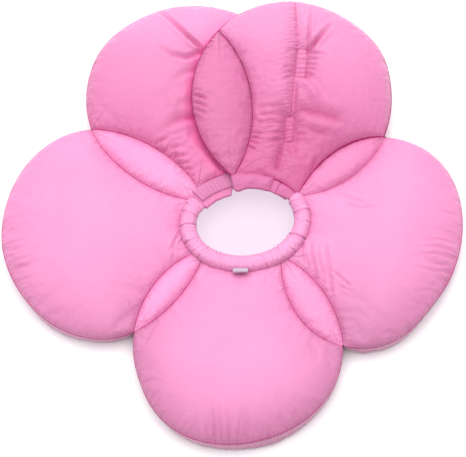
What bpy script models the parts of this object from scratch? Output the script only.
"""Soft flower-shaped recovery collar (elizabethan collar) for a small pet.

Five padded petals are sewn round a gathered elastic neck ring.  Where two
petals meet, a leaf-shaped chamber is stitched off between them; a fifth leaf
runs along the closure petal's free edge.  The closure petal laps over the
top-left petal and is held by hook-and-loop patches.

Frame: metres, +Z up, origin on the floor plane under the middle of the
collar's footprint, +Y towards the closure.  All dimensions are in millimetres.
Plan positions are laid out from about the middle of the neck opening, and
FRAME_SHIFT is added to them when an object is placed.
"""
import math
from collections import namedtuple

import bpy
import bmesh
import numpy as np
from mathutils import Vector

MM = 0.001

# half_x and half_y are half sizes before the turn (degrees); squareness 2 is an
# ellipse; taper widens one end of the egg
Oval = namedtuple("Oval", "x y half_x half_y turn squareness taper")
# straight limit: keep to one side (+1 left, -1 right) of a line by a margin
Limit = namedtuple("Limit", "line side margin")

# ---------------------------------------------------------------- dimensions
FRAME_SHIFT = (10.45, -6.67)

SEAM_Z = 16.0           # height of the perimeter seams above the floor
CLOTH = 1.0             # cover fabric with its backing
GAP = 0.3               # clearance between separate pieces
SEAM_HALF = 0.15        # half the slot between an upper and a lower panel
INNER_CLEARANCE = 0.3   # a chamber stays this far inside its own outlines
OUTER_CLEARANCE = 0.5   # and this far outside its neighbours' outlines

PETAL_RISE = 15.0       # crown of a petal above its seam
PETAL_DROP = SEAM_Z - CLOTH - SEAM_HALF   # petal rests on the floor
LEAF_RISE = 10.0
LEAF_DROP = 10.0
CLOSURE_RISE = 14.0     # closure petal, above its own seam plane
CLOSURE_DROP = 10.0
FLAP_RISE = 11.0
EDGE_LEAF_DROP = CLOSURE_DROP - 1.0
CLOSURE_TILT = math.radians(8.0)          # closure petal climbs over its neighbour
STRIP = 1.3             # thickness of hook or loop tape
STACK = 2.0 * STRIP + 3.0 * GAP           # hook tape, loop tape and their clearances

# how the top-left petal is pressed down under the closure petal
FULL_DEPTH_LEVEL = 0.24     # level inside the closure outline where its sole is deepest
CEILING_SLOPE = 78.0        # climb of the ceiling per unit of level outside the outline
PRESSED_SHARE = 0.5         # seam height as a share of the ceiling
PRESSED_NECK_SHARE = 0.30   # added to that share near the neck
PRESSED_NECK_REACH = 80.0   # the added share fades in inside this radius
PRESSED_NECK_FADE = 35.0    # and is full after this distance
PRESSED_MIN_RISE = 1.2

FILL_EDGE = 0.955       # outer ring of the fibre, as a share of the chamber
FILL_SLACK = 0.4        # the fibre stands this far back from its panels
PRESSED_FILL_SLACK = 0.8

OVAL_BOTTOM = Oval(-8.3, -94.0, 76.8, 75.6, -163.5, 2.06, 0.078)
OVAL_RIGHT = Oval(94.6, -14.7, 86.1, 65.3, -110.4, 2.09, 0.009)
OVAL_LEFT = Oval(-106.2, -7.0, 84.2, 78.7, 100.1, 1.83, 0.105)
OVAL_TOP_LEFT = Oval(-40.3, 99.9, 82.6, 84.3, 17.4, 1.86, 0.093)
OVAL_CLOSURE = Oval(35.0, 99.1, 77.1, 78.8, -30.5, 2.0, 0.011)
OVAL_EDGE_LEAF = Oval(-76.0, 86.0, 80.3, 88.0, 0.0, 2.0, 0.0)
NECK = Oval(-1.0, -0.5, 43.3, 33.4, 8.0, 2.0, 0.0)      # neck ring centre line

RING_HALF_W = 6.0
RING_HALF_H = 5.5
RING_WALL = 1.0
RING_Z = 19.0
RING_SIDES = 10
RING_STEP = 11.0        # degrees per segment of the ring
RING_MIN_STEPS = 5
NECK_CLEARANCE = 1.0    # between the ring and the chambers
ELASTIC_W, ELASTIC_T = 6.5, 1.4
ELASTIC_INSET = 1.0     # degrees the elastic stops short of its casing

HINGE_SLOT = 1.9        # half the slot left in the ring at each hinge line
PEEL_SLOT = 1.0         # room beside the hinge line of the closure petal
FOLD_SLOT = 0.9         # room beside the closure petal's stitched fold line

BAND_HALF_W = 6.0       # flat neck bands
BAND_T = 3.2
BAND_TAPE_HALF_W = BAND_HALF_W - 0.8
FLAP_BAND_END = 97.0    # ring angle, degrees
LOWER_BAND_START = 34.0

PATCH_WIDTH = 18.0
HOOK_PATCH_LENGTH = 9.5
HOOK_PATCH_TURN = -6.0  # degrees
LOOP_STRIP_LENGTH = 46.0

LABEL_WIDTH, LABEL_LENGTH, LABEL_T = 8.0, 5.2, 0.8
LABEL_UP = math.radians(52.0)
LABEL_ANGLE = 262.0     # ring angle, degrees
LABEL_OFFSET = 0.9      # beyond the ring's outer side
LABEL_LIFT = 0.6        # above the ring's middle

# chamber rings as shares of the way from the centre to the rim
PETAL_RINGS = (1.0, 0.86, 0.62, 0.3, 0.0)
LEAF_RINGS = (1.0, 0.8, 0.45, 0.0)
FINE_RINGS = (1.0, 0.88, 0.72, 0.54, 0.32, 0.0)

# resolution of the outline search
MAX_REACH = 180.0
REACH_STEP = 1.0
RAYS = 240
REACH_HALVINGS = 24
CORNER_HALVINGS = 18
NEWTON_STEPS = 60
NEWTON_DAMPING = 0.5
NEWTON_OFFSET = 1e-3
RING_SEARCH_STEPS = 400


# ------------------------------------------------------------ outline geometry
def grown(oval, extra):
    return oval._replace(half_x=oval.half_x + extra, half_y=oval.half_y + extra)


def level(oval, x, y):
    """0 on the outline, below 0 inside, above 0 outside; 1+level ~ scale."""
    turn = math.radians(oval.turn)
    dx, dy = x - oval.x, y - oval.y
    local_x = dx * math.cos(turn) + dy * math.sin(turn)
    local_y = -dx * math.sin(turn) + dy * math.cos(turn)
    power = oval.squareness
    share = np.abs(local_y / oval.half_y)
    lean = np.clip(np.sign(local_y) * share ** (power / 2.0), -1.4, 1.4)
    width = oval.half_x * (1.0 + oval.taper * lean)
    return (np.abs(local_x / width) ** power + share ** power) ** (1.0 / power) - 1.0


def side_of(line, x, y):
    """Signed distance from a line, positive to the left of start -> end."""
    start, end = line
    along = (end - start) / np.linalg.norm(end - start)
    return -(x - start[0]) * along[1] + (y - start[1]) * along[0]


def bisect(low, high, holds, halvings):
    """Largest value found for which holds() is still true."""
    for _ in range(halvings):
        middle = 0.5 * (low + high)
        if holds(middle):
            low = middle
        else:
            high = middle
    return low


def reach(centre, angle, inside, outside, limits):
    """Distance from centre along angle to the first boundary, and its index."""
    cx, cy = centre
    ray_x, ray_y = math.cos(angle), math.sin(angle)
    tests = [(oval, 1.0) for oval in inside] + [(oval, -1.0) for oval in outside]
    radii = np.arange(0.0, MAX_REACH, REACH_STEP)
    best, which = MAX_REACH, -1
    for i, (oval, sign) in enumerate(tests):

        def excess(radius):
            return sign * level(oval, cx + radius * ray_x, cy + radius * ray_y)

        beyond = np.nonzero(excess(radii) > 0.0)[0]
        if len(beyond) == 0:
            continue
        first = beyond[0]
        if first == 0:
            return 0.0, i
        if radii[first - 1] > best:
            continue
        radius = bisect(radii[first - 1], radii[first], lambda r: excess(r) <= 0.0,
                        REACH_HALVINGS)
        if radius < best:
            best, which = radius, i
    for i, limit in enumerate(limits):
        here = side_of(limit.line, cx, cy)
        room = limit.side * here - limit.margin
        slope = limit.side * (side_of(limit.line, cx + ray_x, cy + ray_y) - here)
        if slope < -1e-9 and -room / slope < best:
            best, which = -room / slope, len(tests) + i
    return best, which


def outline(centre, inside, outside, limits, count):
    """Closed outline of a chamber with its corners kept, as about count points."""

    def hit(angle):
        return reach(centre, angle, inside, outside, limits)

    def point(angle):
        radius = hit(angle)[0]
        return (centre[0] + radius * math.cos(angle), centre[1] + radius * math.sin(angle))

    # a corner lies wherever neighbouring rays meet different boundaries
    angles = [2.0 * math.pi * i / RAYS for i in range(RAYS)]
    edges = [hit(angle)[1] for angle in angles]
    corners = []
    for i, edge in enumerate(edges):
        if edge != edges[(i + 1) % RAYS]:
            corners.append(bisect(angles[i], angles[i] + 2.0 * math.pi / RAYS,
                                  lambda angle: hit(angle)[1] == edge, CORNER_HALVINGS))

    dense = sorted(set(angles + corners))
    points = [point(angle) for angle in dense]
    lengths = [0.0]
    for (x0, y0), (x1, y1) in zip(points, points[1:] + points[:1]):
        lengths.append(lengths[-1] + math.hypot(x1 - x0, y1 - y0))
    total = lengths[-1]

    # even spacing by length between one corner and the next
    marks = sorted(dense.index(corner) for corner in corners) or [0]
    stops = [lengths[mark] for mark in marks]
    stops.append(stops[0] + total)
    result = []
    for start, end in zip(stops, stops[1:]):
        pieces = max(1, round(count * (end - start) / total))
        for k in range(pieces):
            place = (start + (end - start) * k / pieces) % total
            i = int(np.searchsorted(lengths, place, side="right")) - 1
            i = max(0, min(len(dense) - 1, i))
            share = (place - lengths[i]) / max(1e-9, lengths[i + 1] - lengths[i])
            angle0, angle1 = dense[i], dense[(i + 1) % len(dense)]
            if angle1 < angle0:
                angle1 += 2.0 * math.pi
            result.append(point(angle0 + (angle1 - angle0) * share))
    return np.array(result)


def crossing(oval_a, oval_b, guess):
    """A point common to two outlines, by damped Newton steps from a guess."""

    def levels(x, y):
        return np.array([float(level(oval_a, x, y)), float(level(oval_b, x, y))])

    place = np.array(guess, float)
    for _ in range(NEWTON_STEPS):
        x, y = place
        here = levels(x, y)
        slope_x = (levels(x + NEWTON_OFFSET, y) - here) / NEWTON_OFFSET
        slope_y = (levels(x, y + NEWTON_OFFSET) - here) / NEWTON_OFFSET
        jacobian = np.stack([slope_x, slope_y], 1)
        place = place - NEWTON_DAMPING * np.linalg.solve(jacobian, here)
    return place


def hinge_line(oval_a, oval_b, inner_guess, outer_guess):
    """Common chord of two neighbouring outlines, from the neck outwards."""
    return crossing(oval_a, oval_b, inner_guess), crossing(oval_a, oval_b, outer_guess)


LINE_RIGHT = hinge_line(OVAL_BOTTOM, OVAL_RIGHT, (27, -32), (70, -98))
LINE_LEFT = hinge_line(OVAL_BOTTOM, OVAL_LEFT, (-33, -33), (-85, -88))
LINE_TOP_LEFT = hinge_line(OVAL_LEFT, OVAL_TOP_LEFT, (-43, 26), (-120, 78))
LINE_TOP_RIGHT = hinge_line(OVAL_RIGHT, OVAL_CLOSURE, (49, 29), (109, 72))
# stitched line across the closure petal, along which its free part folds back
FOLD_LINE = (np.array([22.5, 38.0]), np.array([36.0, 158.0]))


# ------------------------------------------------------------------ surfaces
def closure_plane(x, y):
    """Seam height of the closure petal: rises away from its hinge line."""
    return SEAM_Z + np.maximum(0.0, side_of(LINE_TOP_RIGHT, x, y)) * math.tan(CLOSURE_TILT)


def under_closure(x, y):
    """Ceiling that the closure petal leaves for the petal beneath it."""
    closure_level = level(OVAL_CLOSURE, x, y)
    depth = np.clip(-closure_level / FULL_DEPTH_LEVEL, 0.0, 1.0) * CLOSURE_DROP
    climb = np.maximum(0.0, closure_level) * CEILING_SLOPE
    return closure_plane(x, y) - SEAM_HALF - CLOTH - depth - STACK + climb


def pressed_seam(x, y):
    """Seam height of the top-left petal, pressed down under the closure."""
    near = np.clip((PRESSED_NECK_REACH - np.hypot(x, y)) / PRESSED_NECK_FADE, 0.0, 1.0)
    share = PRESSED_SHARE + PRESSED_NECK_SHARE * near
    return np.minimum(SEAM_Z, under_closure(x, y) * share)


def pressed_rise(x, y):
    room = under_closure(x, y) - pressed_seam(x, y) - SEAM_HALF - CLOTH
    return np.clip(room, PRESSED_MIN_RISE, PETAL_RISE)


def pressed_drop(x, y):
    return pressed_seam(x, y) - SEAM_HALF - CLOTH


def constant(value):
    return lambda x, y: np.full(np.shape(x), float(value))


# padding profiles: share of full height at a share of the way out to the rim
def crown(share):
    return (1.0 - share * share) ** 0.62


def lens(share):
    return 1.0 - share * share


def sole(share):
    """Flat in the middle, rounding up to the rim."""
    rounding = min(1.0, max(0.0, (share - 0.62) / 0.38))
    return (1.0 - rounding * rounding) ** 0.75


# ----------------------------------------------------------------- materials
def material(name, color, roughness):
    result = bpy.data.materials.new(name)
    result.use_nodes = True
    shader = result.node_tree.nodes["Principled BSDF"]
    shader.inputs["Base Color"].default_value = (*color, 1.0)
    shader.inputs["Roughness"].default_value = roughness
    return result


for old_object in list(bpy.data.objects):
    bpy.data.objects.remove(old_object, do_unlink=True)

PINK = (0.93, 0.42, 0.68)
COVER_CLOTH = material("pink_satin_cover", color=PINK, roughness=0.45)
UNDER_CLOTH = material("pink_satin_backing", color=(0.86, 0.36, 0.60), roughness=0.5)
FIBRE_FILL = material("polyester_fibre", color=(0.92, 0.92, 0.90), roughness=0.95)
CASING_CLOTH = material("gathered_casing_satin", color=PINK, roughness=0.45)
ELASTIC = material("woven_elastic", color=(0.90, 0.88, 0.86), roughness=0.8)
HOOK_TAPE = material("hook_tape", color=(0.88, 0.30, 0.55), roughness=0.7)
LOOP_TAPE = material("loop_tape", color=(0.90, 0.36, 0.62), roughness=0.85)
LABEL_CLOTH = material("label_satin", color=(0.93, 0.90, 0.92), roughness=0.4)


# -------------------------------------------------------------- mesh helpers
def metres(x, y, z):
    return Vector((x * MM, y * MM, z * MM))


def to_object(name, bm, mat, origin):
    """Turn a bmesh into a placed object whose origin is the given point."""
    bmesh.ops.recalc_face_normals(bm, faces=bm.faces)
    mesh = bpy.data.meshes.new(name)
    bm.to_mesh(mesh)
    bm.free()
    for vert in mesh.vertices:
        vert.co -= origin
    mesh.update()
    mesh.shade_smooth()
    mesh.set_sharp_from_angle(angle=math.radians(40))
    mesh.materials.append(mat)
    ob = bpy.data.objects.new(name, mesh)
    ob.location = origin + metres(*FRAME_SHIFT, 0.0)
    bpy.context.scene.collection.objects.link(ob)


def join_loops(bm, first, second):
    """Band of triangles between two closed loops of equal length."""
    for i in range(len(first)):
        j = (i + 1) % len(first)
        bm.faces.new((first[i], first[j], second[i]))
        bm.faces.new((first[j], second[j], second[i]))


# ------------------------------------------------------------------ chambers
def two_skins(name, plan_rings, upper, lower, mat, origin):
    """Closed body between two stacked surfaces over rings of plan points;
    the last ring is a single middle point."""
    bm = bmesh.new()
    rims = []
    for surface in (upper, lower):
        rows = [[bm.verts.new(metres(x, y, z)) for (x, y), z in zip(ring, heights)]
                for ring, heights in zip(plan_rings, surface)]
        for outer, inner in zip(rows[:-2], rows[1:-1]):
            join_loops(bm, outer, inner)
        last, middle = rows[-2], rows[-1][0]
        for i in range(len(last)):
            bm.faces.new((last[i], last[(i + 1) % len(last)], middle))
        rims.append(rows[0])
    join_loops(bm, *rims)
    to_object(name, bm, mat, origin)


def chamber(name, centre, inside, outside, origin, *, count, rings, seam, rise, drop,
            top_shape, sole_shape, limits=(), slack=FILL_SLACK):
    """One stuffed chamber: upper panel, lower panel and fibre filling."""
    rim = outline(centre, [grown(oval, -INNER_CLEARANCE) for oval in inside],
                  [grown(oval, OUTER_CLEARANCE) for oval in outside + [NECK_OUTSIDE]],
                  limits, count)
    middle = np.array(centre)

    def plan(shares):
        return [middle + share * (rim - middle) if share > 0 else np.array([middle])
                for share in shares]

    plan_rings = plan(rings)
    seams = [seam(ring[:, 0], ring[:, 1]) for ring in plan_rings]
    rises = [rise(ring[:, 0], ring[:, 1]) * top_shape(share)
             for ring, share in zip(plan_rings, rings)]
    drops = [drop(ring[:, 0], ring[:, 1]) * sole_shape(share)
             for ring, share in zip(plan_rings, rings)]
    two_skins(name + "_upper_panel", plan_rings,
              [s + SEAM_HALF + h + CLOTH for s, h in zip(seams, rises)],
              [s + SEAM_HALF + h for s, h in zip(seams, rises)], COVER_CLOTH, origin)
    two_skins(name + "_lower_panel", plan_rings,
              [s - SEAM_HALF - h for s, h in zip(seams, drops)],
              [s - SEAM_HALF - h - CLOTH for s, h in zip(seams, drops)], UNDER_CLOTH, origin)

    # the filling's edge lies on the same straight facets as the panels
    inward = (1.0 - FILL_EDGE) / (1.0 - rings[1])
    fill_seams = [seams[0] * (1 - inward) + seams[1] * inward] + seams[1:]
    fill_rises = [rises[1] * inward] + rises[1:]
    fill_drops = [drops[1] * inward] + drops[1:]
    two_skins(name + "_filling", plan([FILL_EDGE, *rings[1:]]),
              [s + h - slack for s, h in zip(fill_seams, fill_rises)],
              [s - h + slack for s, h in zip(fill_seams, fill_drops)], FIBRE_FILL, origin)


# object origins: the inner end of the line each part folds about
def hinge_origin(line):
    return metres(*line[0], SEAM_Z)


BASE_ORIGIN = Vector((0.0, 0.0, 0.0))
RIGHT_ORIGIN = hinge_origin(LINE_RIGHT)
LEFT_ORIGIN = hinge_origin(LINE_LEFT)
TOP_LEFT_ORIGIN = hinge_origin(LINE_TOP_LEFT)
TOP_RIGHT_ORIGIN = hinge_origin(LINE_TOP_RIGHT)
FOLD_ORIGIN = metres(*FOLD_LINE[0], float(closure_plane(*FOLD_LINE[0])))

NECK_OUTSIDE = grown(NECK, RING_HALF_W + NECK_CLEARANCE)

FLAT_PETAL = dict(count=28, rings=PETAL_RINGS, seam=constant(SEAM_Z),
                  rise=constant(PETAL_RISE), drop=constant(PETAL_DROP),
                  top_shape=crown, sole_shape=sole)
FLAT_LEAF = dict(count=18, rings=LEAF_RINGS, seam=constant(SEAM_Z),
                 rise=constant(LEAF_RISE), drop=constant(LEAF_DROP),
                 top_shape=lens, sole_shape=lens)

# petals; the closure petal is parted at the fold line into petal and flap
chamber("bottom_petal", (-8.3, -98.0), [OVAL_BOTTOM], [OVAL_LEFT, OVAL_RIGHT], BASE_ORIGIN,
        **FLAT_PETAL)
chamber("right_petal", (104.0, -16.0), [OVAL_RIGHT], [OVAL_BOTTOM, OVAL_CLOSURE],
        RIGHT_ORIGIN, limits=[Limit(LINE_TOP_RIGHT, -1.0, PEEL_SLOT)], **FLAT_PETAL)
chamber("left_petal", (-114.0, -8.0), [OVAL_LEFT], [OVAL_BOTTOM, OVAL_TOP_LEFT], LEFT_ORIGIN,
        **FLAT_PETAL)
chamber("top_left_petal", (-40.0, 106.0), [OVAL_TOP_LEFT], [OVAL_LEFT], TOP_LEFT_ORIGIN,
        count=32, rings=FINE_RINGS, seam=pressed_seam, rise=pressed_rise, drop=pressed_drop,
        top_shape=crown, sole_shape=sole, slack=PRESSED_FILL_SLACK)
chamber("closure_petal", (60.0, 100.0), [OVAL_CLOSURE], [OVAL_RIGHT], TOP_RIGHT_ORIGIN,
        limits=[Limit(LINE_TOP_RIGHT, 1.0, PEEL_SLOT), Limit(FOLD_LINE, -1.0, FOLD_SLOT)],
        count=28, rings=PETAL_RINGS, seam=closure_plane, rise=constant(CLOSURE_RISE),
        drop=constant(CLOSURE_DROP), top_shape=crown, sole_shape=sole)
chamber("closure_flap", (17.0, 92.0), [OVAL_CLOSURE], [OVAL_EDGE_LEAF], FOLD_ORIGIN,
        limits=[Limit(FOLD_LINE, 1.0, FOLD_SLOT)],
        count=24, rings=LEAF_RINGS, seam=closure_plane, rise=constant(FLAP_RISE),
        drop=constant(CLOSURE_DROP), top_shape=lens, sole_shape=lens)

# leaves on the hinge lines: name, line, the two outlines it lies inside, origin
LEAF_PLACE = 0.52       # centre, as a share of the hinge line from its inner end
for leaf_name, line, ovals, origin in (
        ("lower_right_leaf", LINE_RIGHT, [OVAL_BOTTOM, OVAL_RIGHT], BASE_ORIGIN),
        ("lower_left_leaf", LINE_LEFT, [OVAL_BOTTOM, OVAL_LEFT], BASE_ORIGIN),
        ("upper_left_leaf", LINE_TOP_LEFT, [OVAL_LEFT, OVAL_TOP_LEFT], LEFT_ORIGIN),
        ("upper_right_leaf", LINE_TOP_RIGHT, [OVAL_RIGHT, OVAL_CLOSURE], RIGHT_ORIGIN)):
    leaf_centre = line[0] + (line[1] - line[0]) * LEAF_PLACE
    chamber(leaf_name, tuple(leaf_centre), ovals, [], origin, **FLAT_LEAF)

# the leaf along the closure's free edge
chamber("closure_edge_leaf", (-18.0, 92.0), [OVAL_CLOSURE, OVAL_EDGE_LEAF], [], FOLD_ORIGIN,
        count=22, rings=LEAF_RINGS, seam=closure_plane, rise=constant(LEAF_RISE),
        drop=constant(EDGE_LEAF_DROP), top_shape=lens, sole_shape=lens)


# ----------------------------------------------------------------- neck ring
def ring_point(degrees):
    angle, turn = math.radians(degrees), math.radians(NECK.turn)
    x, y = NECK.half_x * math.cos(angle), NECK.half_y * math.sin(angle)
    return np.array([NECK.x + x * math.cos(turn) - y * math.sin(turn),
                     NECK.y + x * math.sin(turn) + y * math.cos(turn)])


def ring_frame(degrees):
    """Point on the ring, direction along it (anticlockwise) and outwards."""
    along = ring_point(degrees + 0.5) - ring_point(degrees - 0.5)
    along /= np.linalg.norm(along)
    return ring_point(degrees), along, np.array([along[1], -along[0]])


def ring_stop(line, side, margin, start, end):
    """First ring angle from start to end where the ring's full width clears
    the line by the margin."""
    for i in range(RING_SEARCH_STEPS):
        degrees = start + (end - start) * i / (RING_SEARCH_STEPS - 1.0)
        place, _, outwards = ring_frame(degrees)
        edges = [place + outwards * width for width in (-RING_HALF_W, RING_HALF_W)]
        if all(side * side_of(line, x, y) >= margin for x, y in edges):
            return degrees


def swept(name, start, end, steps, section, height, mat, origin, hollow=None):
    """Sweep a section (pairs: outwards, up) along the ring between two angles."""
    bm = bmesh.new()
    skins = []
    for outline_pairs in (section, hollow) if hollow else (section,):
        rows = []
        for i in range(steps + 1):
            place, _, outwards = ring_frame(start + (end - start) * i / steps)
            row = []
            for offset, up in outline_pairs:
                x, y = place + outwards * offset
                row.append(bm.verts.new(metres(x, y, height(x, y) + up)))
            rows.append(row)
        for row, following in zip(rows, rows[1:]):
            join_loops(bm, following, row)
        skins.append(rows)
    for k in (0, -1):
        if hollow is None:
            bm.faces.new(skins[0][k])
            continue
        outer, inner = skins[0][k], skins[1][k]
        for i in range(len(outer)):
            j = (i + 1) % len(outer)
            bm.faces.new((outer[i], outer[j], inner[j], inner[i]))
    to_object(name, bm, mat, origin)


def round_section(half_w, half_h):
    angles = [2 * math.pi * i / RING_SIDES for i in range(RING_SIDES)]
    return [(half_w * math.cos(angle), half_h * math.sin(angle)) for angle in angles]


def flat_section(half_w, bottom, top):
    return [(-half_w, bottom), (half_w, bottom), (half_w, top), (-half_w, top)]


def ring_height(x, y):
    return RING_Z


# gathered elastic ring in three runs, parted at the hinge lines
RING_RUNS = (
    ("left", LEFT_ORIGIN, ring_stop(LINE_TOP_LEFT, 1.0, HINGE_SLOT, 100.0, 230.0),
     ring_stop(LINE_LEFT, -1.0, HINGE_SLOT, 260.0, 150.0)),
    ("bottom", BASE_ORIGIN, ring_stop(LINE_LEFT, 1.0, HINGE_SLOT, 180.0, 300.0),
     ring_stop(LINE_RIGHT, -1.0, HINGE_SLOT, 345.0, 250.0)),
    ("right", RIGHT_ORIGIN, ring_stop(LINE_RIGHT, 1.0, HINGE_SLOT, 270.0, 400.0),
     ring_stop(LINE_TOP_RIGHT, -1.0, HINGE_SLOT, 430.0, 320.0)),
)
for run_name, origin, start, end in RING_RUNS:
    steps = max(RING_MIN_STEPS, int(abs(end - start) / RING_STEP))
    swept("neck_casing_" + run_name, start, end, steps,
          round_section(RING_HALF_W, RING_HALF_H), ring_height, CASING_CLOTH, origin,
          hollow=round_section(RING_HALF_W - RING_WALL, RING_HALF_H - RING_WALL))
    swept("neck_elastic_" + run_name, start + ELASTIC_INSET, end - ELASTIC_INSET, steps,
          flat_section(ELASTIC_W / 2, -ELASTIC_T / 2, ELASTIC_T / 2), ring_height,
          ELASTIC, origin)

# flat neck bands: the closure's on top, the top-left petal's below it, with
# hook and loop tape between; heights are relative to the closure plane
closure_start = ring_stop(LINE_TOP_RIGHT, 1.0, HINGE_SLOT, 10.0, 90.0)
closure_end = ring_stop(FOLD_LINE, -1.0, FOLD_SLOT, 70.0, 30.0)
flap_start = ring_stop(FOLD_LINE, 1.0, FOLD_SLOT, 30.0, 80.0)
lower_end = ring_stop(LINE_TOP_LEFT, -1.0, HINGE_SLOT, 170.0, 100.0)
neck_hook_top = -BAND_T / 2 - GAP
neck_loop_top = neck_hook_top - STRIP - GAP
lower_band_top = neck_loop_top - STRIP - GAP

# name, start, end, steps, half width, top, thickness, material, origin
for band_name, start, end, steps, half_w, top, thickness, mat, origin in (
        ("closure_neck_band", closure_start, closure_end, 3,
         BAND_HALF_W, BAND_T / 2, BAND_T, CASING_CLOTH, TOP_RIGHT_ORIGIN),
        ("flap_neck_band", flap_start, FLAP_BAND_END, 5,
         BAND_HALF_W, BAND_T / 2, BAND_T, CASING_CLOTH, FOLD_ORIGIN),
        ("neck_hook_patch", closure_end - 10.0, closure_end - 0.5, 2,
         BAND_TAPE_HALF_W, neck_hook_top, STRIP, HOOK_TAPE, TOP_RIGHT_ORIGIN),
        ("neck_loop_strip", LOWER_BAND_START + 1.0, lower_end - 1.5, 9,
         BAND_TAPE_HALF_W, neck_loop_top, STRIP, LOOP_TAPE, TOP_LEFT_ORIGIN),
        ("lower_neck_band", LOWER_BAND_START, lower_end, 9,
         BAND_HALF_W, lower_band_top, BAND_T, CASING_CLOTH, TOP_LEFT_ORIGIN)):
    swept(band_name, start, end, steps, flat_section(half_w, top - thickness, top),
          closure_plane, mat, origin)


# ------------------------------------------------------- hook and loop patches
def tape(name, centre, length, turn, top, columns, mat, origin):
    """Flat tape parallel to the closure plane; top is relative to that plane."""
    rows = 2
    bm = bmesh.new()
    angle = math.radians(turn)
    grid = {}
    for layer, up in enumerate((top - STRIP, top)):
        for i in range(columns + 1):
            for j in range(rows + 1):
                along = (i / columns - 0.5) * length
                across = (j / rows - 0.5) * PATCH_WIDTH
                x = centre[0] + along * math.cos(angle) - across * math.sin(angle)
                y = centre[1] + along * math.sin(angle) + across * math.cos(angle)
                grid[layer, i, j] = bm.verts.new(metres(x, y, closure_plane(x, y) + up))

    def quad(*keys):
        bm.faces.new([grid[key] for key in keys])

    for i in range(columns):
        for j in range(rows):
            for layer in (0, 1):
                quad((layer, i, j), (layer, i + 1, j),
                     (layer, i + 1, j + 1), (layer, i, j + 1))
        for j in (0, rows):
            quad((0, i, j), (0, i + 1, j), (1, i + 1, j), (1, i, j))
    for j in range(rows):
        for i in (0, columns):
            quad((0, i, j), (0, i, j + 1), (1, i, j + 1), (1, i, j))
    to_object(name, bm, mat, origin)


# hook patches under the closure petal, loop strips on the petal below
hook_top = -SEAM_HALF - CLOSURE_DROP - CLOTH - GAP
loop_top = hook_top - STRIP - GAP
for place_name, hook_centre, loop_centre in (("outer", (39.5, 119.0), (17.0, 117.5)),
                                             ("middle", (33.2, 79.5), (13.0, 79.5))):
    tape(place_name + "_hook_patch", hook_centre, HOOK_PATCH_LENGTH, HOOK_PATCH_TURN,
         hook_top, 2, HOOK_TAPE, TOP_RIGHT_ORIGIN)
    tape(place_name + "_loop_strip", loop_centre, LOOP_STRIP_LENGTH, 0.0,
         loop_top, 4, LOOP_TAPE, TOP_LEFT_ORIGIN)


# --------------------------------------------------------------------- label
def care_label():
    """Small blank label, sewn into the ring's outer seam over the bottom petal."""
    place, along, outwards = ring_frame(LABEL_ANGLE)
    root = place + outwards * (RING_HALF_W + LABEL_OFFSET)
    root_z = RING_Z + LABEL_LIFT
    bm = bmesh.new()
    bmesh.ops.create_cube(bm, size=1.0)
    for vert in bm.verts:
        away = (vert.co.y + 0.5) * LABEL_LENGTH
        thick = vert.co.z * LABEL_T
        out = away * math.cos(LABEL_UP) - thick * math.sin(LABEL_UP)
        up = away * math.sin(LABEL_UP) + thick * math.cos(LABEL_UP)
        x, y = root + along * (vert.co.x * LABEL_WIDTH) + outwards * out
        vert.co = metres(x, y, root_z + up)
    to_object("care_label", bm, LABEL_CLOTH, metres(*root, root_z))


care_label()
